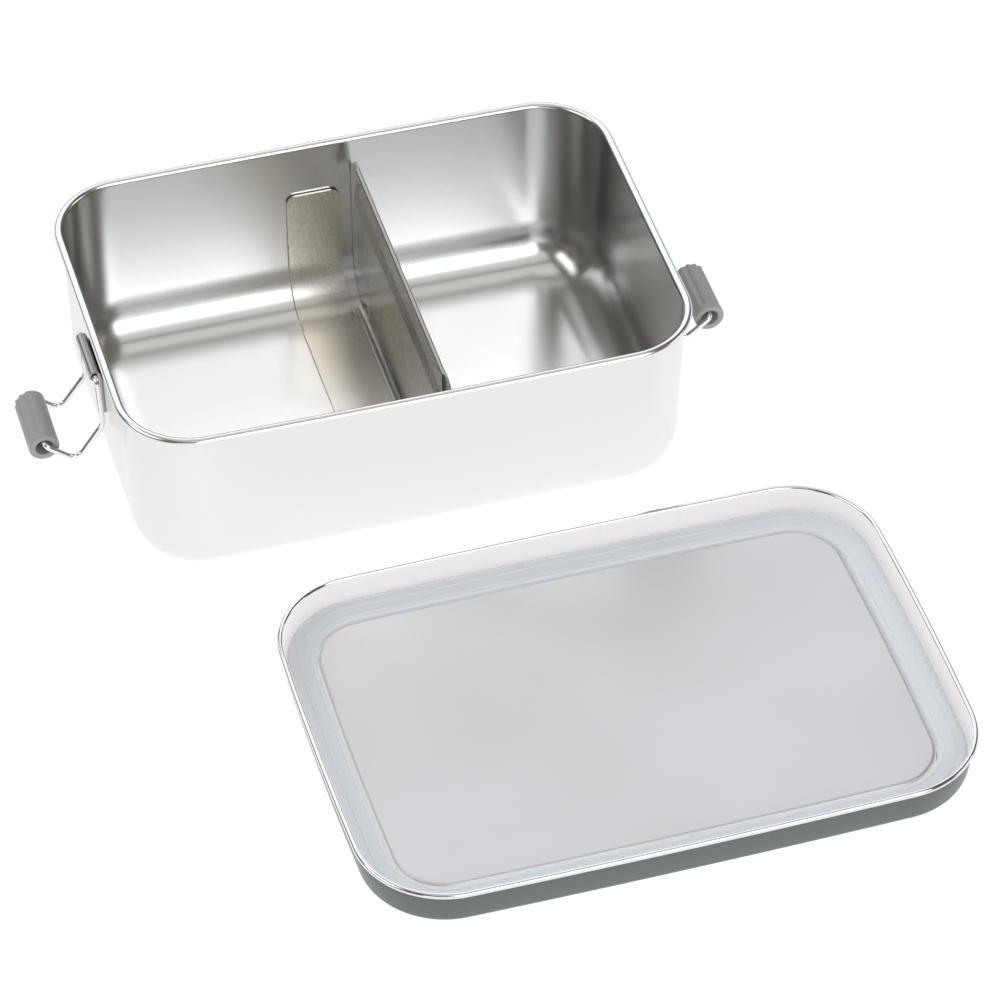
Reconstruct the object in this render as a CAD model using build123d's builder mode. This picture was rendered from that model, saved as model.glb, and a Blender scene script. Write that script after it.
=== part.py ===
from build123d import *
import math
import os

# Stainless lunch box with a loose lid, a lift-out divider and two wire latches.
# Millimetres, +Z up.  The origin is the middle of the tray's flat underside.
# The tray stands open, and the lid lies beside it on the same surface, inside up.

# --- tray: a deep-drawn pan with an outward curled rim -------------------------
TRAY_LENGTH = 182.0        # outside the rim, along X
TRAY_WIDTH = 127.0         # outside the rim at the corners, along Y
TRAY_HEIGHT = 62.5
TRAY_CORNER = 24.0         # plan radius outside the rim
TRAY_BOW = 0.45            # the long sides bow outwards by this much
TRAY_SHEET = 0.6
RIM_RADIUS = 1.4           # the curled rim, outside
CURL_SWEEP = 290.0         # degrees the sheet is curled round
DRAFT = 1.84               # how far the wall leans in from rim to floor
FLOOR_BEND = 16.5          # outer radius between wall and floor
FLOOR_INSET = 22.0         # where the drawn edge gives way to the flat floor

# --- lid: a shallow pan, lying inside up ---------------------------------------
LID_LENGTH = 191.0
LID_WIDTH = 136.0
LID_HEIGHT = 14.0
LID_CORNER = 28.0
LID_BOW = 0.6              # every side bows outwards by this much
LID_SHEET = 0.5
LID_PLACE = (37.0, -149.5)
LID_TURN = 0.5             # degrees
LID_BEAD = 0.9             # radius of the closed bead on the edge
LID_WALL_INSET = 0.7       # the painted wall at the bead, in from the lid's edge
LID_DRAFT = 1.6            # how far that wall leans in down to the surface
LID_EDGE_BEND = 3.0        # outer radius between the wall and the top face
PANEL_HEIGHT = 5.3         # inner face of the sunken panel above the surface
GROOVE_END = 11.9          # inner wall of the gasket groove, in from the edge
PANEL_INSET = 20.0

# --- gasket --------------------------------------------------------------------
GASKET_OUTER = 2.5         # at its top, in from the lid's edge
GASKET_OUTER_LOW = 3.2     # at its underside
GASKET_INNER = 11.5
GASKET_TOP = 5.9
GASKET_RIBS = (3.6, 6.2, 9.9)
RIB_RADIUS = 0.25

# --- divider: one bent and hemmed sheet ----------------------------------------
DIVIDER_SHEET = 0.8
DIVIDER_X = 9.5            # face of the upright towards its foot
DIVIDER_TOP = 58.5
HEM_DEPTH = 12.5
HEM_HALF = 50.5            # half the hem's length
HEM_LIP = 4.5              # the hem's lower end, sprung away from the upright
HEM_SPRING = 0.9           # how far it stands off
FOOT_END = -12.0           # free edge of the foot
TAB_SIDE = 5.5             # the tabs stop here, short of the upright
TAB_TOP = 44.0
TAB_CORNER = 3.0
SLOT_END = 48.0            # the relief slots run in to here
SLOT_CORNER = 1.8
FOOT_BEND = 3.2            # outer radius between foot and upright
END_BEND = 16.5            # outer radius where the ends turn up the tray's walls
WALL_GAP = 0.4             # clearance of the divider to the tray's walls
SHOULDER = 10.0            # radius of the upright's top corners

# --- latches -------------------------------------------------------------------
AXIS_X = 90.5              # hinge tubes, out from the middle
AXIS_Z = 47.0
TUBE_RADIUS = 1.8
TUBE_LENGTH = 19.0
TUBE_CURL = 290.0          # degrees the plate is curled round into the tube
PLATE_SHEET = 0.6
PLATE_BOTTOM = 31.5
WELD_RADIUS = 1.5
WELD_DEPTH = 0.12
WELD_HALF = 5.0            # the two spot welds, either side of the middle
WIRE_RADIUS = 0.9
WIRE_GAP = 2.0             # between the wire's two ends inside the tube
LEG_Y = 12.1               # the planes of the legs
ELBOW = (-0.9, -17.8)      # outwards and up, from the hinge axis
KNEE = (8.0, -30.4)
CROSSBAR = (17.7, -22.36)
TUBE_END_BEND = 2.1        # centre-line radii of the wire's bends
ELBOW_BEND = 5.0
KNEE_BEND = 3.5
CROSSBAR_BEND = 1.9
GRIP_DROP = 1.55           # the grip hangs this far below the crossbar's axis
GRIP_RADIUS = 4.8
GRIP_BORE = 2.8
GRIP_LENGTH = 22.0
GRIP_COLLAR = 2.2          # plain ring at the grip's near end
GRIP_FLUTES = 8            # the flutes leave a third of the grip's round plain
FLUTE_PITCH = 30.0
FLUTE_DEPTH = 0.5
FLUTE_RADIUS = 1.7
LEFT_FLUTES = 99.0         # where the run of flutes starts, as an angle from +X toward +Z
RIGHT_FLUTES = 247.0

os.makedirs("parts", exist_ok=True)


def finish(part, name):
    """Label one finished piece and write its file."""
    part.label = name
    export_step(part, "parts/" + name + ".step")


def bowed_outline(length, width, corner, bow_x, bow_y, place=(0.0, 0.0), turn=0.0):
    """Runs of a rounded rectangle, counter-clockwise from the corner at +X +Y.

    Each run is (centre, radius, start angle, sweep, straight length).  bow_y bows
    the long sides and bow_x the short ones.  A side without a bow has no sweep, and
    goes straight on from the corner before it.
    """
    cx = length / 2 - corner
    cy = width / 2 - corner
    long_radius = (cx * cx + bow_y * bow_y) / (2 * bow_y) if bow_y else 0.0
    short_radius = (cy * cy + bow_x * bow_x) / (2 * bow_x) if bow_x else 0.0
    long_centre = width / 2 + bow_y - long_radius
    short_centre = length / 2 + bow_x - short_radius
    for _ in range(8):
        if bow_y:
            cy = long_centre + math.sqrt((long_radius - corner) ** 2 - cx * cx)
        if bow_x:
            cx = short_centre + math.sqrt((short_radius - corner) ** 2 - cy * cy)
    low = math.degrees(math.atan2(cy, cx - short_centre)) if bow_x else 0.0
    high = math.degrees(math.atan2(cy - long_centre, cx)) if bow_y else 90.0
    sides = (
        ((0.0, long_centre), long_radius, high, 180.0 - 2 * high, 2 * cx),
        ((-short_centre, 0.0), short_radius, 180.0 - low, 2 * low, 2 * cy),
        ((0.0, -long_centre), long_radius, 180.0 + high, 180.0 - 2 * high, 2 * cx),
        ((short_centre, 0.0), short_radius, -low, 2 * low, 2 * cy),
    )
    corners = (
        ((cx, cy), low, high),
        ((-cx, cy), 180.0 - high, 180.0 - low),
        ((-cx, -cy), 180.0 + low, 180.0 + high),
        ((cx, -cy), 360.0 - high, 360.0 - low),
    )
    runs = []
    for (centre, start, end), (middle, radius, begin, sweep, straight) in zip(corners, sides):
        runs.append((centre, corner, start, end - start, 0.0))
        if radius:
            runs.append((middle, radius, begin, sweep, 0.0))
        else:
            runs.append((centre, corner, end, 0.0, straight))
    c = math.cos(math.radians(turn))
    s = math.sin(math.radians(turn))
    placed = []
    for (x, y), radius, start, sweep, straight in runs:
        centre = (place[0] + c * x - s * y, place[1] + s * x + c * y)
        placed.append((centre, radius, start + turn, sweep, straight))
    return placed


def section_corner(sketch, x, y):
    """The corner of a sketch nearest to a point in its own plane."""
    return sketch.vertices().sort_by_distance((x, y))[0]


def direction(angle):
    """Unit vector in plan at an angle in degrees."""
    return (math.cos(math.radians(angle)), math.sin(math.radians(angle)))


def sweep_section(section, runs):
    """Carry a section round an outline, in the part that is being built."""
    for centre, radius, start, turn, straight in runs:
        dx, dy = direction(start)
        origin = (centre[0] + radius * dx, centre[1] + radius * dy, 0.0)
        plane = Plane(origin=origin, x_dir=(dx, dy, 0.0), z_dir=(dy, -dx, 0.0))
        if straight:
            extrude(section(plane), amount=straight, dir=(-dy, dx, 0.0))
        else:
            revolve(section(plane), axis=Axis((*centre, 0.0), (0, 0, 1)), revolution_arc=turn)


def outline_face(runs, inset, height):
    """The outline's face, moved inwards, at one height."""
    with BuildSketch(Plane.XY.offset(height)) as face:
        with BuildLine():
            for centre, radius, start, turn, straight in runs:
                reach = radius - inset
                angles = (start, start + turn / 2, start + turn)
                points = [
                    (centre[0] + reach * direction(a)[0], centre[1] + reach * direction(a)[1])
                    for a in angles
                ]
                if straight:
                    dx, dy = direction(start)
                    end = (points[0][0] - dy * straight, points[0][1] + dx * straight)
                    Line(points[0], end)
                else:
                    ThreePointArc(*points)
        make_face()
    return face.sketch


# --- tray ------------------------------------------------------------------------
TRAY_RUNS = bowed_outline(TRAY_LENGTH, TRAY_WIDTH, TRAY_CORNER, 0.0, TRAY_BOW)
WALL_TOP = TRAY_HEIGHT - RIM_RADIUS
WALL_IN = 2 * RIM_RADIUS                   # the wall's inner face at the rim
WALL_OUT = WALL_IN - TRAY_SHEET


def tray_section(plane):
    """Floor, bend, leaning wall and curled rim."""
    with BuildSketch(plane) as section:
        with BuildLine():
            Polyline(
                (-FLOOR_INSET, 0.0),
                (-WALL_OUT - DRAFT, 0.0),
                (-WALL_OUT, WALL_TOP),
                (-WALL_IN, WALL_TOP),
                (-WALL_IN - DRAFT, TRAY_SHEET),
                (-FLOOR_INSET, TRAY_SHEET),
                close=True,
            )
        make_face()
        fillet(section_corner(section, -WALL_OUT - DRAFT, 0.0), radius=FLOOR_BEND)
        bend_in = section_corner(section, -WALL_IN - DRAFT, TRAY_SHEET)
        fillet(bend_in, radius=FLOOR_BEND - TRAY_SHEET)
        middle = (-RIM_RADIUS, WALL_TOP)
        with BuildLine():
            outer = CenterArc(middle, RIM_RADIUS, 180.0, -CURL_SWEEP)
            inner = CenterArc(middle, RIM_RADIUS - TRAY_SHEET, 180.0, -CURL_SWEEP)
            Line(outer @ 0, inner @ 0)
            Line(outer @ 1, inner @ 1)
        make_face()
    return section.sketch


with BuildPart() as box_body:
    sweep_section(tray_section, TRAY_RUNS)
    extrude(outline_face(TRAY_RUNS, FLOOR_INSET, 0.0), amount=TRAY_SHEET)
finish(box_body.part, "box_body")


# --- lid -------------------------------------------------------------------------
LID_RUNS = bowed_outline(
    LID_LENGTH, LID_WIDTH, LID_CORNER, LID_BOW, LID_BOW, LID_PLACE, LID_TURN
)
BEAD_Z = LID_HEIGHT - LID_BEAD
STEP_OUT = GROOVE_END + LID_SHEET          # the groove wall's far face


def lid_section(plane):
    """Bead, side wall, gasket groove and the edge of the sunken panel."""
    inner = LID_WALL_INSET + LID_SHEET
    low = LID_WALL_INSET + LID_DRAFT
    bends = (
        ((-low, 0.0), LID_EDGE_BEND),
        ((-low - LID_SHEET, LID_SHEET), LID_EDGE_BEND - LID_SHEET),
        ((-GROOVE_END, LID_SHEET), 0.8),
        ((-GROOVE_END - 0.2, PANEL_HEIGHT), 1.3),
        ((-STEP_OUT - 0.2, PANEL_HEIGHT - LID_SHEET), 0.8),
        ((-STEP_OUT, 0.0), 1.3),
    )
    with BuildSketch(plane) as section:
        with BuildLine():
            Polyline(
                (-LID_WALL_INSET, BEAD_Z),
                (-low, 0.0),
                (-STEP_OUT, 0.0),
                (-STEP_OUT - 0.2, PANEL_HEIGHT - LID_SHEET),
                (-PANEL_INSET, PANEL_HEIGHT - LID_SHEET),
                (-PANEL_INSET, PANEL_HEIGHT),
                (-GROOVE_END - 0.2, PANEL_HEIGHT),
                (-GROOVE_END, LID_SHEET),
                (-low - LID_SHEET, LID_SHEET),
                (-inner, BEAD_Z),
                close=True,
            )
        make_face()
        for corner, radius in bends:
            fillet(section_corner(section, *corner), radius=radius)
        with BuildLine():
            CenterArc((-LID_BEAD, BEAD_Z), LID_BEAD, 0.0, 360.0)
        make_face()
    return section.sketch


with BuildPart() as lid_shell:
    sweep_section(lid_section, LID_RUNS)
    extrude(outline_face(LID_RUNS, PANEL_INSET, PANEL_HEIGHT - LID_SHEET), amount=LID_SHEET)
finish(lid_shell.part, "lid_shell")


def gasket_section(plane):
    """A broad soft-edged band with three fine ribs round its top."""
    with BuildSketch(plane) as section:
        with BuildLine():
            Polyline(
                (-GASKET_OUTER_LOW, LID_SHEET),
                (-GASKET_INNER, LID_SHEET),
                (-GASKET_INNER, GASKET_TOP),
                (-GASKET_OUTER, GASKET_TOP),
                close=True,
            )
        make_face()
        corners = (
            ((-GASKET_OUTER_LOW, LID_SHEET), 2.6),
            ((-GASKET_INNER, LID_SHEET), 1.2),
            ((-GASKET_INNER, GASKET_TOP), 0.8),
            ((-GASKET_OUTER, GASKET_TOP), 0.8),
        )
        for corner, radius in corners:
            fillet(section_corner(section, *corner), radius=radius)
        with Locations(*[(-inset, GASKET_TOP) for inset in GASKET_RIBS]):
            Circle(RIB_RADIUS)
    return section.sketch


with BuildPart() as lid_gasket:
    sweep_section(gasket_section, LID_RUNS)
finish(lid_gasket.part, "lid_gasket")


# --- divider ---------------------------------------------------------------------
FOOT_UNDER = TRAY_SHEET                    # the foot lies on the tray's floor
FOOT_TOP = FOOT_UNDER + DIVIDER_SHEET
FAR_FACE = DIVIDER_X + DIVIDER_SHEET


def fitted_half(height):
    """Half the divider's width at one height, following the tray's wall."""
    lean = DRAFT * (WALL_TOP - height) / (WALL_TOP - TRAY_SHEET)
    return TRAY_WIDTH / 2 + TRAY_BOW - WALL_IN - lean - WALL_GAP


def end_band():
    """The foot's cross-section along Y, with both ends turned up the walls."""
    low = fitted_half(FOOT_UNDER)
    high = fitted_half(TAB_TOP)
    with BuildSketch(Plane.YZ.offset(FOOT_END)) as band:
        with BuildLine():
            Polyline(
                (-high, TAB_TOP),
                (-low, FOOT_UNDER),
                (low, FOOT_UNDER),
                (high, TAB_TOP),
                (high - DIVIDER_SHEET, TAB_TOP),
                (low - DIVIDER_SHEET, FOOT_TOP),
                (-low + DIVIDER_SHEET, FOOT_TOP),
                (-high + DIVIDER_SHEET, TAB_TOP),
                close=True,
            )
        make_face()
        for side in (-1, 1):
            outer = section_corner(band, side * low, FOOT_UNDER)
            fillet(outer, radius=END_BEND)
            inner = section_corner(band, side * (low - DIVIDER_SHEET), FOOT_TOP)
            fillet(inner, radius=END_BEND - DIVIDER_SHEET)
    return band.sketch


def tab_outline():
    """The foot and tabs seen along Y: a strip with rounded top corners."""
    with BuildSketch(Plane.XZ) as outline:
        with Locations(((FOOT_END + TAB_SIDE) / 2, TAB_TOP / 2)):
            Rectangle(TAB_SIDE - FOOT_END, TAB_TOP)
        fillet(outline.vertices().group_by(Axis.Z)[-1], radius=TAB_CORNER)
    return outline.sketch


def foot_bend(plane, reach):
    """Cross-section from the foot's free edge, or nearer, round the bend and up."""
    top = FOOT_UNDER + 2 * FOOT_BEND
    with BuildSketch(plane) as bend:
        with BuildLine():
            Polyline(
                (reach, FOOT_UNDER),
                (FAR_FACE, FOOT_UNDER),
                (FAR_FACE, top),
                (DIVIDER_X, top),
                (DIVIDER_X, FOOT_TOP),
                (reach, FOOT_TOP),
                close=True,
            )
        make_face()
        fillet(section_corner(bend, FAR_FACE, FOOT_UNDER), radius=FOOT_BEND)
        fillet(section_corner(bend, DIVIDER_X, FOOT_TOP), radius=FOOT_BEND - DIVIDER_SHEET)
    return bend.sketch


def upright_outline():
    """The upright seen along X: it follows the tray's walls and floor bends."""
    low = fitted_half(FOOT_UNDER)
    high = fitted_half(DIVIDER_TOP)
    with BuildSketch(Plane.YZ.offset(DIVIDER_X)) as upright:
        with BuildLine():
            Polyline(
                (-high, DIVIDER_TOP),
                (-low, FOOT_UNDER),
                (low, FOOT_UNDER),
                (high, DIVIDER_TOP),
                close=True,
            )
        make_face()
        for side in (-1, 1):
            fillet(section_corner(upright, side * low, FOOT_UNDER), radius=END_BEND)
            fillet(section_corner(upright, side * high, DIVIDER_TOP), radius=SHOULDER)
    return upright.sketch


def hem_fold(plane):
    """Cross-section of the folded top edge, both layers."""
    fold_z = DIVIDER_TOP - DIVIDER_SHEET
    lip_z = DIVIDER_TOP - HEM_DEPTH
    with BuildSketch(plane) as fold:
        with BuildLine():
            Polyline(
                (FAR_FACE, fold_z),
                (FAR_FACE, fold_z - HEM_DEPTH / 2),
                (DIVIDER_X, fold_z - HEM_DEPTH / 2),
                (DIVIDER_X, lip_z + HEM_LIP),
                (DIVIDER_X - HEM_SPRING, lip_z),
                (DIVIDER_X - HEM_SPRING - DIVIDER_SHEET, lip_z),
                (DIVIDER_X - DIVIDER_SHEET, lip_z + HEM_LIP),
                (DIVIDER_X - DIVIDER_SHEET, fold_z),
            )
            CenterArc((DIVIDER_X, fold_z), DIVIDER_SHEET, 0.0, 180.0)
        make_face()
    return fold.sketch


def slot_outline(plane):
    """The two relief slots in plan, open towards the tray's walls."""
    reach = TRAY_WIDTH / 2 - SLOT_END
    width = DIVIDER_X - TAB_SIDE
    with BuildSketch(plane) as slots:
        for side in (-1, 1):
            with Locations((TAB_SIDE + width / 2, side * (SLOT_END + reach / 2))):
                Rectangle(width, reach)
            for x in (TAB_SIDE, DIVIDER_X):
                fillet(section_corner(slots, x, side * SLOT_END), radius=SLOT_CORNER)
    return slots.sketch


with BuildPart() as divider:
    # the ends of the foot turn up the walls as two tabs
    extrude(end_band(), amount=TAB_SIDE - FOOT_END)
    extrude(tab_outline(), amount=TRAY_WIDTH / 2, both=True, mode=Mode.INTERSECT)
    # the foot bends up into the upright, and the bend follows the curve of the ends
    flat_half = fitted_half(FOOT_UNDER + END_BEND) - END_BEND
    turn_in = math.degrees(math.asin((SLOT_END + 2.0 - flat_half) / END_BEND))
    extrude(foot_bend(Plane.XZ.offset(-flat_half), FOOT_END), amount=2 * flat_half)
    for side in (-1, 1):
        curl_plane = Plane.XZ.offset(-side * flat_half)
        curl_axis = Axis((0, side * flat_half, FOOT_UNDER + END_BEND), (side, 0, 0))
        revolve(foot_bend(curl_plane, TAB_SIDE), axis=curl_axis, revolution_arc=turn_in)
    # the upright fills the tray from wall to wall
    extrude(upright_outline(), amount=DIVIDER_SHEET)
    # its top edge is folded over, so the fold replaces the square edge
    with BuildSketch(Plane.YZ.offset(DIVIDER_X)) as square_edge:
        with Locations((0, DIVIDER_TOP)):
            Rectangle(2 * HEM_HALF, 2 * DIVIDER_SHEET)
    extrude(square_edge.sketch, amount=DIVIDER_SHEET, mode=Mode.SUBTRACT)
    extrude(hem_fold(Plane.XZ.offset(-HEM_HALF)), amount=2 * HEM_HALF)
    # a slot with a rounded bottom frees each tab from the upright
    extrude(slot_outline(Plane.XY), amount=TAB_TOP, mode=Mode.SUBTRACT)
finish(divider.part, "divider")


# --- latch brackets: a spot-welded plate curled into the hinge tube ---------------
def wall_outside(height):
    """The tray's outer face on the short sides, out from the middle, at one height."""
    return TRAY_LENGTH / 2 - WALL_OUT - DRAFT * (WALL_TOP - height) / WALL_TOP


def bracket_section(side):
    """The plate against the leaning wall, and the sheet curled round the hinge axis."""
    inner_low = wall_outside(PLATE_BOTTOM)
    inner_high = wall_outside(AXIS_Z)
    start = 180.0 if side > 0 else 0.0
    with BuildSketch(Plane.XZ.offset(-TUBE_LENGTH / 2)) as section:
        with BuildLine():
            Polyline(
                (side * inner_low, PLATE_BOTTOM),
                (side * (inner_low + PLATE_SHEET), PLATE_BOTTOM),
                (side * (inner_high + PLATE_SHEET), AXIS_Z),
                (side * inner_high, AXIS_Z),
                close=True,
            )
        make_face()
        with BuildLine():
            middle = (side * AXIS_X, AXIS_Z)
            outer = CenterArc(middle, TUBE_RADIUS, start, -side * TUBE_CURL)
            inner = CenterArc(middle, TUBE_RADIUS - PLATE_SHEET, start, -side * TUBE_CURL)
            Line(outer @ 0, inner @ 0)
            Line(outer @ 1, inner @ 1)
        make_face()
    return section.sketch


def add_bracket(side):
    """Build one bracket in the current part."""
    extrude(bracket_section(side), amount=TUBE_LENGTH)
    weld_z = (PLATE_BOTTOM + AXIS_Z - TUBE_RADIUS) / 2
    face_x = wall_outside(weld_z) + PLATE_SHEET
    lean = math.atan2(DRAFT, WALL_TOP)
    outward = (side * math.cos(lean), 0.0, -math.sin(lean))
    face = Plane(origin=(side * face_x, 0.0, weld_z), x_dir=(0, 1, 0), z_dir=outward)
    with BuildSketch(face) as welds:
        with Locations((-WELD_HALF, 0.0), (WELD_HALF, 0.0)):
            Circle(WELD_RADIUS)
    extrude(welds.sketch, amount=-WELD_DEPTH, mode=Mode.SUBTRACT)


with BuildPart() as left_bracket:
    add_bracket(-1)
finish(left_bracket.part, "left_bracket")

with BuildPart() as right_bracket:
    add_bracket(1)
finish(right_bracket.part, "right_bracket")


# --- bails: one length of bent wire each ------------------------------------------
def wire_corners(side):
    """The wire's corners as if bent sharp, from one end in the tube to the other."""
    near = []
    for out, up in ((0.0, 0.0), ELBOW, KNEE, CROSSBAR):
        near.append(Vector(side * (AXIS_X + out), -LEG_Y, AXIS_Z + up))
    far = [Vector(point.X, -point.Y, point.Z) for point in reversed(near)]
    first = Vector(side * AXIS_X, -WIRE_GAP / 2, AXIS_Z)
    last = Vector(side * AXIS_X, WIRE_GAP / 2, AXIS_Z)
    return [first, *near, *far, last]


def add_wire(side):
    """Build one bail in the current part."""
    bends = (TUBE_END_BEND, ELBOW_BEND, KNEE_BEND, CROSSBAR_BEND)
    radii = (*bends, *reversed(bends))
    corners = wire_corners(side)
    with BuildLine() as path:
        here = corners[0]
        for before, corner, after, radius in zip(corners, corners[1:], corners[2:], radii):
            come = (corner - before).normalized()
            go = (after - corner).normalized()
            half_turn = math.radians(come.get_angle(go)) / 2
            setback = radius * math.tan(half_turn)
            begin = corner - come * setback
            end = corner + go * setback
            inward = (go - come).normalized()
            middle = corner + inward * (radius / math.cos(half_turn) - radius)
            Line(here, begin)
            ThreePointArc(begin, middle, end)
            here = end
        Line(here, corners[-1])
    with BuildSketch(Plane(origin=corners[0], z_dir=(0, -1, 0))) as wire:
        Circle(WIRE_RADIUS)
    sweep(wire.sketch, path=path.wire())


with BuildPart() as left_bail:
    add_wire(-1)
finish(left_bail.part, "left_bail")

with BuildPart() as right_bail:
    add_wire(1)
finish(right_bail.part, "right_bail")


# --- grips: a fluted sleeve hanging loose on each crossbar -------------------------
def add_grip(side, first_flute):
    """Build one grip in the current part, its run of flutes starting at an angle."""
    x = side * (AXIS_X + CROSSBAR[0])
    z = AXIS_Z + CROSSBAR[1] - GRIP_DROP
    with BuildSketch(Plane(origin=(x, GRIP_LENGTH / 2, z), x_dir=(1, 0, 0), z_dir=(0, -1, 0))) as ring:
        Circle(GRIP_RADIUS)
        Circle(GRIP_BORE, mode=Mode.SUBTRACT)
    extrude(ring.sketch, amount=GRIP_LENGTH)
    fluted = GRIP_LENGTH - GRIP_COLLAR
    flute_plane = Plane(origin=(x, GRIP_LENGTH / 2, z), x_dir=(1, 0, 0), z_dir=(0, -1, 0))
    with BuildSketch(flute_plane) as flutes:
        with PolarLocations(GRIP_RADIUS + FLUTE_RADIUS - FLUTE_DEPTH, GRIP_FLUTES,
                            first_flute + FLUTE_PITCH / 2, GRIP_FLUTES * FLUTE_PITCH):
            Circle(FLUTE_RADIUS)
    extrude(flutes.sketch, amount=fluted, mode=Mode.SUBTRACT)


with BuildPart() as left_grip:
    add_grip(-1, LEFT_FLUTES)
finish(left_grip.part, "left_grip")

with BuildPart() as right_grip:
    add_grip(1, RIGHT_FLUTES)
finish(right_grip.part, "right_grip")
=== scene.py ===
import math

import bpy
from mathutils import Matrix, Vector


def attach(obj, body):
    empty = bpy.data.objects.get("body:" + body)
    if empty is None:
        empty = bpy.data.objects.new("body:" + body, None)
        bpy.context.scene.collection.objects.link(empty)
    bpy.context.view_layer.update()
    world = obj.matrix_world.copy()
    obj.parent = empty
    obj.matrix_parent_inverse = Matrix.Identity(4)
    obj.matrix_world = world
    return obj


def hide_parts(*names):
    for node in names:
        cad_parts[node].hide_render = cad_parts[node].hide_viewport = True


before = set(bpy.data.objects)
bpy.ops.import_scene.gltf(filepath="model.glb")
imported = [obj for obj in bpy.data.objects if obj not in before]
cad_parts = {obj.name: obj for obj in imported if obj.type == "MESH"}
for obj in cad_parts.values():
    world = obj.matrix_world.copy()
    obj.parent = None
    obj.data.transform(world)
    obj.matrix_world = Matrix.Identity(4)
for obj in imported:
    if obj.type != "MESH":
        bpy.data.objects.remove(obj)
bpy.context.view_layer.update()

MM = 0.001

# --- driving dimensions, in millimetres, the same as the frame's --------------------
TRAY = dict(length=182.0, width=127.0, corner=24.0, bow_x=0.0, bow_y=0.45)
TRAY_HEIGHT = 62.5
TRAY_SHEET = 0.6
RIM = 1.4                   # radius of the rolled rim
CURL_SWEEP = 290.0          # how far round the rim and the hinge tubes are rolled, degrees
DRAFT = 1.84
FLOOR_BEND = 16.5
FLOOR_INSET = 22.0

LID = dict(length=191.0, width=136.0, corner=28.0, bow_x=0.6, bow_y=0.6,
           place=(37.0, -149.5), turn=0.5)
LID_HEIGHT = 14.0
LID_SHEET = 0.5
LID_BEAD = 0.9
BEAD_SWEEP = 327.3
LID_WALL = 0.7
LID_DRAFT = 1.6
PANEL_HEIGHT = 5.3
GROOVE_END = 11.9
PANEL_INSET = 20.0
PANEL_LEAN = 0.2            # how far the panel's step leans over its height
STEP_INNER_BEND = 0.8
STEP_OUTER_BEND = 1.3
WALL_FOOT_BEND = 3.0
COAT = 0.06                 # how far the pressing stands back behind its paint
COAT_DEPTH = 0.08           # thickness of the paint, a little into the pressing

GASKET_OUTER = 2.5
GASKET_LOW = 3.2
GASKET_INNER = 11.5
GASKET_TOP = 5.9
RIB_STARTS = (3.4, 6.0, 9.7)
RIB_HALF = 0.2
RIB_HEIGHT = 0.22
CLEARANCE = 0.02

AXIS_X = 90.5
AXIS_Z = 47.0
TUBE_RADIUS = 1.8
TUBE_HALF = 9.5
PLATE_SHEET = 0.6
PLATE_BOTTOM = 31.5
PLATE_EDGE = 0.08
WIRE = 0.9
WIRE_GAP = 2.0
LEG_Y = 12.1
ELBOW = (-0.9, -17.8)
KNEE = (8.0, -30.4)
CROSSBAR = (17.7, -22.36)
BENDS = (2.1, 5.0, 3.5, 1.9)

GRIP_DROP = 1.55
GRIP_RADIUS = 4.8
GRIP_BORE = 2.8
GRIP_LENGTH = 22.0
GRIP_COLLAR = 2.2
GRIP_EDGE = 0.45
BORE_EDGE = 0.3
FLUTES = 8
FLUTE_PITCH = 30.0
FLUTE_SHARE = 0.88          # part of the pitch that is hollowed
FLUTE_DEPTH = 0.5
FLUTE_RUN = 1.2
LEFT_FLUTES = 99.0
RIGHT_FLUTES = 247.0


# --- camera ---------------------------------------------------------------------------
CAMERA_PLACE = (-0.29685, -1.16332, 1.10504)
CAMERA_DOWN = 43.612
CAMERA_TURN = -16.234

camera_data = bpy.data.cameras.new("camera")
camera_data.lens = 184.36
camera_data.sensor_width = 36.0
camera_data.clip_start = 0.05
camera_data.clip_end = 20.0
camera = bpy.data.objects.new("camera", camera_data)
camera.location = CAMERA_PLACE
camera.rotation_euler = (math.radians(90.0 - CAMERA_DOWN), 0.0, math.radians(CAMERA_TURN))
bpy.context.scene.collection.objects.link(camera)
bpy.context.scene.camera = camera


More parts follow.
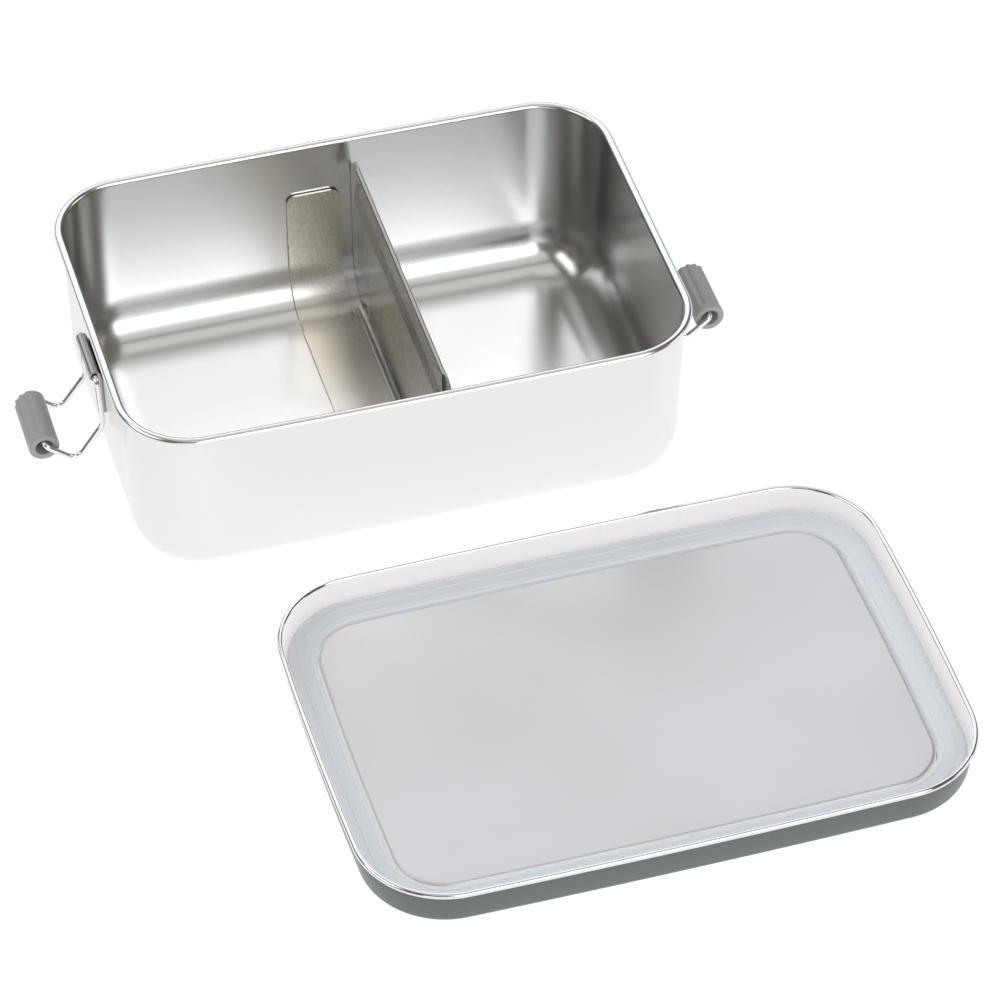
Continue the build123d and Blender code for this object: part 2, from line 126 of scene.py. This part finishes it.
# --- mesh helpers ----------------------------------------------------------------------
def outline_runs(length, width, corner, bow_x, bow_y, place=(0.0, 0.0), turn=0.0):
    """Runs of a rounded rectangle as (centre, radius, start angle, sweep, straight)."""
    cx = length / 2 - corner
    cy = width / 2 - corner
    long_radius = (cx * cx + bow_y * bow_y) / (2 * bow_y) if bow_y else 0.0
    short_radius = (cy * cy + bow_x * bow_x) / (2 * bow_x) if bow_x else 0.0
    long_centre = width / 2 + bow_y - long_radius
    short_centre = length / 2 + bow_x - short_radius
    for _ in range(8):
        if bow_y:
            cy = long_centre + math.sqrt((long_radius - corner) ** 2 - cx * cx)
        if bow_x:
            cx = short_centre + math.sqrt((short_radius - corner) ** 2 - cy * cy)
    low = math.degrees(math.atan2(cy, cx - short_centre)) if bow_x else 0.0
    high = math.degrees(math.atan2(cy - long_centre, cx)) if bow_y else 90.0
    sides = (
        ((0.0, long_centre), long_radius, high, 180.0 - 2 * high, 2 * cx),
        ((-short_centre, 0.0), short_radius, 180.0 - low, 2 * low, 2 * cy),
        ((0.0, -long_centre), long_radius, 180.0 + high, 180.0 - 2 * high, 2 * cx),
        ((short_centre, 0.0), short_radius, -low, 2 * low, 2 * cy),
    )
    corners = (
        ((cx, cy), low, high),
        ((-cx, cy), 180.0 - high, 180.0 - low),
        ((-cx, -cy), 180.0 + low, 180.0 + high),
        ((cx, -cy), 360.0 - high, 360.0 - low),
    )
    runs = []
    for (centre, start, end), (middle, radius, begin, sweep, straight) in zip(corners, sides):
        runs.append((centre, corner, start, end - start, 0.0))
        if radius:
            runs.append((middle, radius, begin, sweep, 0.0))
        else:
            runs.append((centre, corner, end, 0.0, straight))
    c = math.cos(math.radians(turn))
    s = math.sin(math.radians(turn))
    placed = []
    for (x, y), radius, start, sweep, straight in runs:
        centre = (place[0] + c * x - s * y, place[1] + s * x + c * y)
        placed.append((centre, radius, start + turn, sweep, straight))
    return placed


def outline_stations(runs, corner_steps=28, side_steps=30):
    """Stations round an outline: (edge point at no inset, outward direction)."""
    stations = []
    for centre, radius, start, sweep, straight in runs:
        steps = side_steps if straight or abs(sweep) < 20.0 else corner_steps
        for i in range(steps):
            angle = math.radians(start + sweep * i / steps)
            out = (math.cos(angle), math.sin(angle))
            slide = straight * i / steps
            x = centre[0] + radius * out[0] - out[1] * slide
            y = centre[1] + radius * out[1] + out[0] * slide
            stations.append(((x, y), out))
    return stations


def arc(centre, radius, start, sweep, steps):
    """Points of an arc in a section, ends included."""
    return [
        (centre[0] + radius * math.cos(math.radians(start + sweep * i / steps)),
         centre[1] + radius * math.sin(math.radians(start + sweep * i / steps)))
        for i in range(steps + 1)
    ]


def rounded(points, radii, steps=10, closed=False):
    """A polyline with each corner given in radii (by index) rounded off."""
    out = []
    count = len(points)
    for i, corner in enumerate(points):
        radius = radii.get(i, 0.0)
        ends = not closed and i in (0, count - 1)
        if not radius or ends:
            out.append(corner)
            continue
        p = Vector(corner)
        come = (p - Vector(points[i - 1])).normalized()
        go = (Vector(points[(i + 1) % count]) - p).normalized()
        half = come.angle(go) / 2
        begin = p - come * radius * math.tan(half)
        centre = p + (go - come).normalized() * (radius / math.cos(half))
        spin = come.x * go.y - come.y * go.x
        first = math.degrees(math.atan2(begin.y - centre.y, begin.x - centre.x))
        sweep = math.degrees(2 * half) * (1 if spin > 0 else -1)
        out.extend(arc(centre, radius, first, sweep, steps))
    return out


def new_mesh(name, vertices, faces, smooth_angle=35.0, scale=MM):
    """Make an object from millimetre vertices, smooth but for its sharp edges."""
    mesh = bpy.data.meshes.new(name)
    mesh.from_pydata([tuple(c * scale for c in v) for v in vertices], [], faces)
    mesh.validate()
    mesh.update()
    mesh.shade_smooth()
    mesh.set_sharp_from_angle(angle=math.radians(smooth_angle))
    obj = bpy.data.objects.new(name, mesh)
    bpy.context.scene.collection.objects.link(obj)
    return obj


def loft_outline(name, runs, section, closed_section, corner_steps=28, side_steps=30):
    """Carry a section of (inset, height) points round an outline, and cap its two ends."""
    stations = outline_stations(runs, corner_steps, side_steps)
    rings = len(stations)
    width = len(section)
    vertices = []
    for (x, y), out in stations:
        for inset, height in section:
            vertices.append((x - out[0] * inset, y - out[1] * inset, height))
    faces = []
    strips = width if closed_section else width - 1
    for i in range(rings):
        a = i * width
        b = (i + 1) % rings * width
        for j in range(strips):
            k = (j + 1) % width
            faces.append((a + j, b + j, b + k, a + k))
    if not closed_section:
        faces.append(tuple(i * width for i in reversed(range(rings))))
        faces.append(tuple(i * width + width - 1 for i in range(rings)))
    return new_mesh(name, vertices, faces)


# --- tray -----------------------------------------------------------------------------
def tray_section():
    """From the underside up the outer face, round the curl and down the inner face."""
    top = TRAY_HEIGHT - RIM
    inner = 2 * RIM
    outer = inner - TRAY_SHEET
    outside = rounded(
        [(FLOOR_INSET, 0.0), (outer + DRAFT, 0.0), (outer, top)], {1: FLOOR_BEND}, 16)
    # insets grow inwards, so the curl is drawn mirrored
    curl_in = arc((RIM, top), RIM - TRAY_SHEET, 0.0, CURL_SWEEP, 34)
    curl_out = arc((RIM, top), RIM, CURL_SWEEP, -CURL_SWEEP, 40)
    inside = rounded(
        [(inner, top), (inner + DRAFT, TRAY_SHEET), (FLOOR_INSET, TRAY_SHEET)],
        {1: FLOOR_BEND - TRAY_SHEET}, 16)
    return outside + curl_in[1:] + curl_out + inside[1:]


tray = loft_outline("tray_shell", outline_runs(**TRAY), tray_section(), False)
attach(tray, "box")
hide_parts("box_body")


# --- lid ------------------------------------------------------------------------------
LID_RUNS = outline_runs(**LID)
LID_STEPS = 10                # per bend of a section
LID_CORNER_STEPS = 30
BEAD_Z = LID_HEIGHT - LID_BEAD
STEP = GROOVE_END + LID_SHEET
LID_LOW = LID_WALL + LID_DRAFT
STEP_TOP = STEP + PANEL_LEAN
UNDERSIDE = PANEL_HEIGHT - LID_SHEET
WALL_TOP = BEAD_Z - 0.87      # the wall meets the underside of the bead here
BEAD_FOOT = BEAD_Z - 0.8      # and the inner face leaves it here
COAT_END = BEAD_Z - 0.95


def lid_wall(height):
    """How far in the wall's outer face is at one height."""
    return LID_WALL + LID_DRAFT * (1.0 - height / BEAD_Z)


def lid_section():
    """From the panel's underside out, up the wall, round the bead and back inside."""
    under = rounded(
        [(PANEL_INSET, UNDERSIDE + COAT), (STEP_TOP, UNDERSIDE + COAT),
         (STEP, COAT), (LID_LOW + COAT, COAT), (lid_wall(WALL_TOP), WALL_TOP)],
        {1: STEP_INNER_BEND, 2: STEP_OUTER_BEND, 3: WALL_FOOT_BEND}, LID_STEPS)
    first = math.degrees(math.atan2(-0.895, lid_wall(WALL_TOP) - LID_BEAD))
    bead = arc((LID_BEAD, BEAD_Z), LID_BEAD, first, -BEAD_SWEEP, 40)
    inside = rounded(
        [(lid_wall(BEAD_FOOT) + LID_SHEET, BEAD_FOOT), (LID_LOW + LID_SHEET, LID_SHEET),
         (GROOVE_END, LID_SHEET), (GROOVE_END + PANEL_LEAN, PANEL_HEIGHT),
         (PANEL_INSET, PANEL_HEIGHT)],
        {1: WALL_FOOT_BEND - LID_SHEET, 2: STEP_INNER_BEND, 3: STEP_OUTER_BEND}, LID_STEPS)
    return under + bead + inside


lid = loft_outline("lid_pressing", LID_RUNS, lid_section(), False, LID_CORNER_STEPS)
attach(lid, "lid")
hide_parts("lid_shell")


def coat_section():
    """The paint on the lid's outside, a thin closed skin ending under the bead."""
    edge = COAT_END - 0.1
    inset = COAT_DEPTH - COAT
    face = rounded(
        [(PANEL_INSET, UNDERSIDE), (STEP_TOP, UNDERSIDE), (STEP, 0.0), (LID_LOW, 0.0),
         (lid_wall(edge), edge), (lid_wall(COAT_END) + 0.03, COAT_END)],
        {1: STEP_INNER_BEND + COAT, 2: STEP_OUTER_BEND - COAT, 3: WALL_FOOT_BEND + COAT},
        LID_STEPS)
    back = rounded(
        [(lid_wall(COAT_END) + COAT_DEPTH, COAT_END), (LID_LOW + COAT_DEPTH, COAT_DEPTH),
         (STEP, COAT_DEPTH), (STEP_TOP, UNDERSIDE + COAT_DEPTH),
         (PANEL_INSET, UNDERSIDE + COAT_DEPTH)],
        {1: WALL_FOOT_BEND - inset, 2: STEP_OUTER_BEND + inset, 3: STEP_INNER_BEND - inset},
        LID_STEPS)
    return face + back


coat = loft_outline("lid_paint_coat", LID_RUNS, coat_section(), False, LID_CORNER_STEPS)
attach(coat, "lid")
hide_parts("lid_shell")


def gasket_section():
    """A soft-edged band with fine ribs round its top."""
    low = LID_SHEET + CLEARANCE
    points = [(GASKET_LOW, low), (GASKET_OUTER, GASKET_TOP)]
    radii = {0: 2.6, 1: 0.8, 11: 0.8, 12: 1.2}
    for start in RIB_STARTS:
        radii[len(points) + 1] = 0.1
        points.extend([(start, GASKET_TOP), (start + RIB_HALF, GASKET_TOP + RIB_HEIGHT),
                       (start + 2 * RIB_HALF, GASKET_TOP)])
    points.extend([(GASKET_INNER, GASKET_TOP), (GASKET_INNER, low)])
    return rounded(points, radii, 6, closed=True)


gasket = loft_outline("gasket_ring", LID_RUNS, gasket_section(), True, LID_CORNER_STEPS)
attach(gasket, "gasket")
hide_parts("lid_gasket")


# --- latches --------------------------------------------------------------------------
def wall_outside(height):
    """The tray's outer face on the short sides at one height."""
    top = TRAY_HEIGHT - RIM
    return TRAY["length"] / 2 - (2 * RIM - TRAY_SHEET) - DRAFT * (top - height) / top


def extrude_section(name, section, low_y, high_y):
    """Extrude a closed (x, z) section along Y."""
    count = len(section)
    vertices = []
    for y in (low_y, high_y):
        vertices.extend((x, y, z) for x, z in section)
    faces = [(j, (j + 1) % count, (j + 1) % count + count, j + count) for j in range(count)]
    faces.append(tuple(reversed(range(count))))
    faces.append(tuple(range(count, 2 * count)))
    return new_mesh(name, vertices, faces)


def bracket(name, side):
    """The plate up the wall, curled right round into the hinge tube."""
    low = wall_outside(PLATE_BOTTOM)
    face = wall_outside(AXIS_Z)
    axis = (AXIS_X, AXIS_Z)
    outer = arc(axis, TUBE_RADIUS, 180.0, -CURL_SWEEP, 40)
    inner = arc(axis, TUBE_RADIUS - PLATE_SHEET, 180.0 - CURL_SWEEP, CURL_SWEEP, 36)
    section = [(low, PLATE_BOTTOM), (face, AXIS_Z - 1.2), *outer, *inner,
               (face + PLATE_SHEET + CLEARANCE, AXIS_Z - 1.6),
               (low + PLATE_SHEET, PLATE_BOTTOM)]
    section = [(side * x, z) for x, z in section]
    if side < 0:
        section.reverse()
    obj = extrude_section(name, section, -TUBE_HALF, TUBE_HALF)
    bevel = obj.modifiers.new("edge", "BEVEL")
    bevel.width = PLATE_EDGE * MM
    bevel.segments = 2
    bevel.limit_method = "ANGLE"
    bevel.angle_limit = math.radians(50)
    return obj


def wire_path(side, steps=12):
    """Centre line of one bail from end to end, with its bends rounded."""
    near = [(side * (AXIS_X + out), -LEG_Y, AXIS_Z + up)
            for out, up in ((0.0, 0.0), ELBOW, KNEE, CROSSBAR)]
    far = [(x, -y, z) for x, y, z in reversed(near)]
    corners = [(side * AXIS_X, -WIRE_GAP / 2, AXIS_Z), *near, *far,
               (side * AXIS_X, WIRE_GAP / 2, AXIS_Z)]
    radii = (*BENDS, *reversed(BENDS))
    points = [Vector(corners[0])]
    for before, corner, after, radius in zip(corners, corners[1:], corners[2:], radii):
        before, corner, after = Vector(before), Vector(corner), Vector(after)
        come = (corner - before).normalized()
        go = (after - corner).normalized()
        half = come.angle(go) / 2
        centre = corner + (go - come).normalized() * (radius / math.cos(half))
        arm = (corner - come * radius * math.tan(half)) - centre
        for i in range(steps + 1):
            spin = 2 * half * i / steps
            points.append(centre + arm * math.cos(spin) + come * radius * math.sin(spin))
    points.append(Vector(corners[-1]))
    return points


def tube_along(name, points, radius, sides=24):
    """A round bar along a path, framed without twist."""
    end = len(points) - 1
    tangents = [
        (points[min(i + 1, end)] - points[max(i - 1, 0)]).normalized()
        for i in range(end + 1)
    ]
    side = tangents[0].orthogonal().normalized()
    vertices = []
    for point, along in zip(points, tangents):
        side = (side - along * side.dot(along)).normalized()
        up = along.cross(side)
        for j in range(sides):
            a = 2 * math.pi * j / sides
            spoke = side * (radius * math.cos(a)) + up * (radius * math.sin(a))
            vertices.append(tuple(point + spoke))
    faces = []
    for i in range(end):
        for j in range(sides):
            k = (j + 1) % sides
            a, b = i * sides, (i + 1) * sides
            faces.append((a + j, a + k, b + k, b + j))
    faces.append(tuple(reversed(range(sides))))
    faces.append(tuple(range(end * sides, (end + 1) * sides)))
    return new_mesh(name, vertices, faces)


def flute_cut(angle, phase):
    """Depth of the sleeve's flutes at one angle round it."""
    along = (angle - phase) % 360.0
    if along >= FLUTES * FLUTE_PITCH:
        return 0.0
    across = abs((along % FLUTE_PITCH) / FLUTE_PITCH * 2 - 1)
    t = min(across / FLUTE_SHARE, 1.0)
    return FLUTE_DEPTH * (1 - t * t)


def grip(name, side, phase):
    """A sleeve with concave flutes, a smooth panel and a plain collar at its near end."""
    x0 = side * (AXIS_X + CROSSBAR[0])
    z0 = AXIS_Z + CROSSBAR[1] - GRIP_DROP
    around = 240
    half = GRIP_LENGTH / 2
    quarter = [math.pi / 2 * k / 4 for k in range(5)]
    # each station: place along the sleeve, how much smaller it is, how deep the flutes are
    stations = [(-half + GRIP_EDGE * (1 - math.cos(q)), GRIP_EDGE * (1 - math.sin(q)), 0.0)
                for q in quarter]
    stations.append((-half + GRIP_COLLAR, 0.0, 0.0))
    for k in range(1, 9):
        f = k / 8
        stations.append((-half + GRIP_COLLAR + FLUTE_RUN * f, 0.0, math.sqrt(1 - (1 - f) ** 2)))
    stations.append((0.0, 0.0, 1.0))
    stations.extend((half - GRIP_EDGE * (1 - math.sin(q)), GRIP_EDGE * (1 - math.cos(q)), 1.0)
                    for q in quarter)
    rings = []
    for y, shrink, flute in stations:
        rings.append((y, [GRIP_RADIUS - shrink - flute * flute_cut(360.0 * j / around, phase)
                          for j in range(around)]))
    soft = 0.3 * BORE_EDGE
    bore = [(half, BORE_EDGE), (half - soft, soft), (half - BORE_EDGE, 0.0), (0.0, 0.0),
            (-half + BORE_EDGE, 0.0), (-half + soft, soft), (-half, BORE_EDGE)]
    for y, flare in bore:
        rings.append((y, [GRIP_BORE + flare] * around))
    vertices = []
    for y, radii in rings:
        for j, r in enumerate(radii):
            a = math.radians(360.0 * j / around)
            vertices.append((x0 + r * math.cos(a), y, z0 + r * math.sin(a)))
    faces = []
    for i in range(len(rings)):
        for j in range(around):
            k = (j + 1) % around
            a, b = i * around, (i + 1) % len(rings) * around
            faces.append((a + j, b + j, b + k, a + k))
    return new_mesh(name, vertices, faces, 40.0)


for word, side, phase in (("left", -1, LEFT_FLUTES), ("right", 1, RIGHT_FLUTES)):
    plate = bracket(word + "_hinge_bracket", side)
    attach(plate, "box")
    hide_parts(word + "_bracket")
    wire = tube_along(word + "_bail_wire", wire_path(side), WIRE)
    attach(wire, word + "_latch")
    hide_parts(word + "_bail")
    sleeve = grip(word + "_grip_sleeve", side, phase)
    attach(sleeve, word + "_sleeve")
    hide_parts(word + "_grip")

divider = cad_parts["divider"]
divider.data.shade_smooth()
divider.data.set_sharp_from_angle(angle=math.radians(25))


# --- materials ------------------------------------------------------------------------
UPRIGHT_LOW = 6.5             # the divider's painted shade: it darkens between these two places along X, mm
UPRIGHT_HIGH = 7.7
GRAIN_DEPTH = 0.000006
SHEEN_SPREAD = 0.05           # how far the roughness strays to each side
SLOW_SCALE = 22.0


def material(name):
    """A node material with a Principled shader: (material, nodes, links, bsdf)."""
    mat = bpy.data.materials.new(name)
    mat.use_nodes = True
    tree = mat.node_tree
    bsdf = tree.nodes["Principled BSDF"]
    return mat, tree.nodes, tree.links, bsdf


def steel(name, colour, roughness, grain_scale, grain, polished_above=None):
    """Satin steel with a fine directional grain and a slow unevenness in its sheen.

    polished_above gives two heights in millimetres between which the roughness changes,
    and the roughness above them.
    """
    mat, nodes, links, bsdf = material(name)
    bsdf.inputs["Base Color"].default_value = (*colour, 1.0)
    bsdf.inputs["Metallic"].default_value = 1.0
    coord = nodes.new("ShaderNodeTexCoord")
    stretch = nodes.new("ShaderNodeMapping")
    stretch.inputs["Scale"].default_value = grain_scale
    links.new(coord.outputs["Object"], stretch.inputs["Vector"])
    fine = nodes.new("ShaderNodeTexNoise")
    fine.inputs["Scale"].default_value = 1.0
    fine.inputs["Detail"].default_value = 4.0
    links.new(stretch.outputs["Vector"], fine.inputs["Vector"])
    slow = nodes.new("ShaderNodeTexNoise")
    slow.inputs["Scale"].default_value = SLOW_SCALE
    slow.inputs["Detail"].default_value = 2.0
    links.new(coord.outputs["Object"], slow.inputs["Vector"])
    blend = nodes.new("ShaderNodeMath")
    blend.operation = "ADD"
    links.new(fine.outputs["Fac"], blend.inputs[0])
    links.new(slow.outputs["Fac"], blend.inputs[1])
    spread = nodes.new("ShaderNodeMapRange")
    spread.inputs["From Min"].default_value = 0.6
    spread.inputs["From Max"].default_value = 1.4
    spread.inputs["To Min"].default_value = roughness - SHEEN_SPREAD
    spread.inputs["To Max"].default_value = roughness + SHEEN_SPREAD
    links.new(blend.outputs[0], spread.inputs["Value"])
    sheen = spread.outputs["Result"]
    if polished_above is not None:
        split = nodes.new("ShaderNodeSeparateXYZ")
        links.new(coord.outputs["Object"], split.inputs["Vector"])
        rise = nodes.new("ShaderNodeMapRange")
        low, high, polished = polished_above
        rise.inputs["From Min"].default_value = low * MM
        rise.inputs["From Max"].default_value = high * MM
        links.new(split.outputs["Z"], rise.inputs["Value"])
        choose = nodes.new("ShaderNodeMix")
        choose.inputs["B"].default_value = polished
        links.new(rise.outputs["Result"], choose.inputs["Factor"])
        links.new(sheen, choose.inputs["A"])
        sheen = choose.outputs["Result"]
    links.new(sheen, bsdf.inputs["Roughness"])
    bump = nodes.new("ShaderNodeBump")
    bump.inputs["Strength"].default_value = grain
    bump.inputs["Distance"].default_value = GRAIN_DEPTH
    links.new(fine.outputs["Fac"], bump.inputs["Height"])
    links.new(bump.outputs["Normal"], bsdf.inputs["Normal"])
    return mat


def paint_upright_shade(mat, colour):
    """Paint shade on the divider's upright and hem, the last of it along X, as a darker base
    colour.
    """
    nodes = mat.node_tree.nodes
    links = mat.node_tree.links
    bsdf = nodes["Principled BSDF"]
    coord = nodes.new("ShaderNodeTexCoord")
    split = nodes.new("ShaderNodeSeparateXYZ")
    links.new(coord.outputs["Object"], split.inputs["Vector"])
    across = nodes.new("ShaderNodeMapRange")
    across.inputs["From Min"].default_value = UPRIGHT_LOW * MM
    across.inputs["From Max"].default_value = UPRIGHT_HIGH * MM
    links.new(split.outputs["X"], across.inputs["Value"])
    # painted shade: the upright's base colour is darkened for how light falls on it, not for
    # the steel itself
    upright_shade_mix = nodes.new("ShaderNodeMix")
    upright_shade_mix.data_type = "RGBA"
    upright_shade_mix.inputs["A"].default_value = bsdf.inputs["Base Color"].default_value
    upright_shade_mix.inputs["B"].default_value = (*colour, 1.0)
    links.new(across.outputs["Result"], upright_shade_mix.inputs["Factor"])
    links.new(upright_shade_mix.outputs["Result"], bsdf.inputs["Base Color"])


def dress(obj, mat):
    """Give an object one material in every slot."""
    if obj.data.materials:
        for i in range(len(obj.data.materials)):
            obj.data.materials[i] = mat
    else:
        obj.data.materials.append(mat)


RIM_ROUGHNESS = 0.20
BEAD_ROUGHNESS = 0.10
tray_mat = steel("tray_satin_steel", (0.79, 0.783, 0.772), 0.23, (3000, 3000, 3000), 0.25,
                 (TRAY_HEIGHT - 3.0, TRAY_HEIGHT - 1.6, RIM_ROUGHNESS))
divider_mat = steel("divider_brushed_steel", (0.80, 0.765, 0.70), 0.26, (5000, 5000, 200), 0.7)
# painted shade: the upright gets a darker base colour than the foot of the same steel
paint_upright_shade(divider_mat, (0.36, 0.345, 0.325))
lid_mat = steel("lid_satin_steel", (0.79, 0.764, 0.776), 0.54, (2500, 2500, 2500), 0.3,
                (GASKET_TOP + 0.3, BEAD_Z - 0.9, BEAD_ROUGHNESS))
bracket_mat = steel("bracket_steel", (0.38, 0.365, 0.345), 0.24, (4000, 900, 4000), 0.0)
wire_mat = steel("wire_polished_steel", (0.86, 0.84, 0.82), 0.12, (500, 500, 500), 0.05)



def plain_finish(name, colour, settings):
    """A material with a flat colour and a few shader settings by socket name."""
    mat, _, _, bsdf = material(name)
    bsdf.inputs["Base Color"].default_value = (*colour, 1.0)
    for socket, value in settings.items():
        bsdf.inputs[socket].default_value = value
    return mat


coat_mat = plain_finish("grey_green_paint", (0.100, 0.124, 0.104), {
    "Roughness": 0.42, "Coat Weight": 0.25, "Coat Roughness": 0.15})
silicone_mat = plain_finish("pale_silicone", (0.85, 0.88, 0.92), {
    "Roughness": 0.24, "Subsurface Weight": 0.4, "Subsurface Radius": (0.5, 0.7, 0.8),
    "Subsurface Scale": 0.004})
grip_mat = plain_finish("matte_grip_silicone", (0.37, 0.375, 0.36), {"Roughness": 0.42})

# the lid's pieces stay out of the tray's mirror-like reflections
for piece in (lid, coat, gasket):
    piece.visible_glossy = False
dress(tray, tray_mat)
dress(divider, divider_mat)
dress(lid, lid_mat)
dress(coat, coat_mat)
dress(gasket, silicone_mat)
for word in ("left", "right"):
    dress(bpy.data.objects[word + "_hinge_bracket"], bracket_mat)
    dress(bpy.data.objects[word + "_bail_wire"], wire_mat)
    dress(bpy.data.objects[word + "_grip_sleeve"], grip_mat)


# --- floor and light -------------------------------------------------------------------
FLOOR_SIZE = 6.0
FLOOR_DROP = 0.0002
# painted light: the floor glows though it is no lamp, brightest in a pool round GLOW_CENTRE
GLOW_CENTRE = (0.02, -0.12, 0.0)
GLOW_NEAR = (0.07, 1.04)      # distance from the centre in metres, and strength of the painted glow there
GLOW_FAR = (0.20, 0.90)


def stage_floor(steps=4):
    """A pale surface, far larger than the view, glowing as painted light, brightest round its
    centre.
    """
    vertices = []
    for i in range(steps + 1):
        for j in range(steps + 1):
            vertices.append((FLOOR_SIZE * (i / steps - 0.5), FLOOR_SIZE * (j / steps - 0.5),
                             -FLOOR_DROP))
    faces = []
    for i in range(steps):
        for j in range(steps):
            a = i * (steps + 1) + j
            faces.append((a, a + steps + 1, a + steps + 2, a + 1))
    floor = new_mesh("studio_floor", vertices, faces, scale=1.0)
    mat, nodes, links, bsdf = material("studio_white_painted_glow")
    bsdf.inputs["Base Color"].default_value = (0.15, 0.15, 0.15, 1.0)
    bsdf.inputs["Roughness"].default_value = 0.9
    bsdf.inputs["Specular IOR Level"].default_value = 0.0
    # painted light: a white glow whose strength falls off from GLOW_CENTRE, over a dark base
    # colour that keeps shadows faint
    bsdf.inputs["Emission Color"].default_value = (1.0, 1.0, 1.0, 1.0)
    coord = nodes.new("ShaderNodeTexCoord")
    centre = nodes.new("ShaderNodeVectorMath")
    centre.operation = "DISTANCE"
    centre.inputs[1].default_value = GLOW_CENTRE
    links.new(coord.outputs["Object"], centre.inputs[0])
    painted_glow_fade = nodes.new("ShaderNodeMapRange")
    painted_glow_fade.inputs["From Min"].default_value, painted_glow_fade.inputs["To Min"].default_value = GLOW_NEAR
    painted_glow_fade.inputs["From Max"].default_value, painted_glow_fade.inputs["To Max"].default_value = GLOW_FAR
    links.new(centre.outputs["Value"], painted_glow_fade.inputs["Value"])
    links.new(painted_glow_fade.outputs["Result"], bsdf.inputs["Emission Strength"])
    dress(floor, mat)


stage_floor()

BOX_DISTANCE = 2.0
COOL = (0.93, 0.965, 1.0)
BLUISH = (0.89, 0.965, 1.03)
NEUTRAL = (1.0, 1.0, 1.0)


def softbox(name, azimuth, elevation, size, radiance, colour):
    """A rectangular light facing the object, placed by angles in degrees."""
    data = bpy.data.lights.new(name, "AREA")
    data.shape = "RECTANGLE"
    data.size, data.size_y = size
    data.energy = radiance * math.pi * size[0] * size[1]
    data.color = colour
    lamp = bpy.data.objects.new(name, data)
    turn = math.radians(azimuth)
    rise = math.radians(elevation)
    level = math.cos(rise)
    away = Vector((math.cos(turn) * level, math.sin(turn) * level, math.sin(rise)))
    lamp.location = away * BOX_DISTANCE
    lamp.rotation_euler = (math.pi / 2 - rise, 0.0, turn + math.pi / 2)
    lamp.visible_camera = False
    bpy.context.scene.collection.objects.link(lamp)


softbox("backdrop_box", 90, 41, (3.4, 1.9), 1.18, BLUISH)
softbox("front_right_box", 286, 36, (1.3, 1.0), 2.5, COOL)
softbox("front_high_box", 276, 61, (1.7, 0.8), 0.58, COOL)
softbox("front_low_box", 266, 10, (2.4, 0.5), 1.6, COOL)
softbox("top_box", 90, 86, (1.6, 1.1), 0.6, NEUTRAL)
softbox("left_box", 184, 38, (1.3, 1.0), 2.2, COOL)
softbox("right_low_box", 344, 13, (0.9, 0.6), 1.6, NEUTRAL)

world = bpy.data.worlds.new("studio")
world.use_nodes = True
nodes = world.node_tree.nodes
links = world.node_tree.links
background = nodes["Background"]
seen = nodes.new("ShaderNodeLightPath")
tint = nodes.new("ShaderNodeMix")
tint.data_type = "RGBA"
tint.inputs[6].default_value = (0.15, 0.135, 0.115, 1.0)      # for all that is lit by it
tint.inputs[7].default_value = (1.0, 1.0, 1.0, 1.0)           # as seen behind the floor
links.new(seen.outputs["Is Camera Ray"], tint.inputs[0])
links.new(tint.outputs[2], background.inputs["Color"])
bpy.context.scene.world = world
bpy.context.scene.view_settings.view_transform = "Standard"
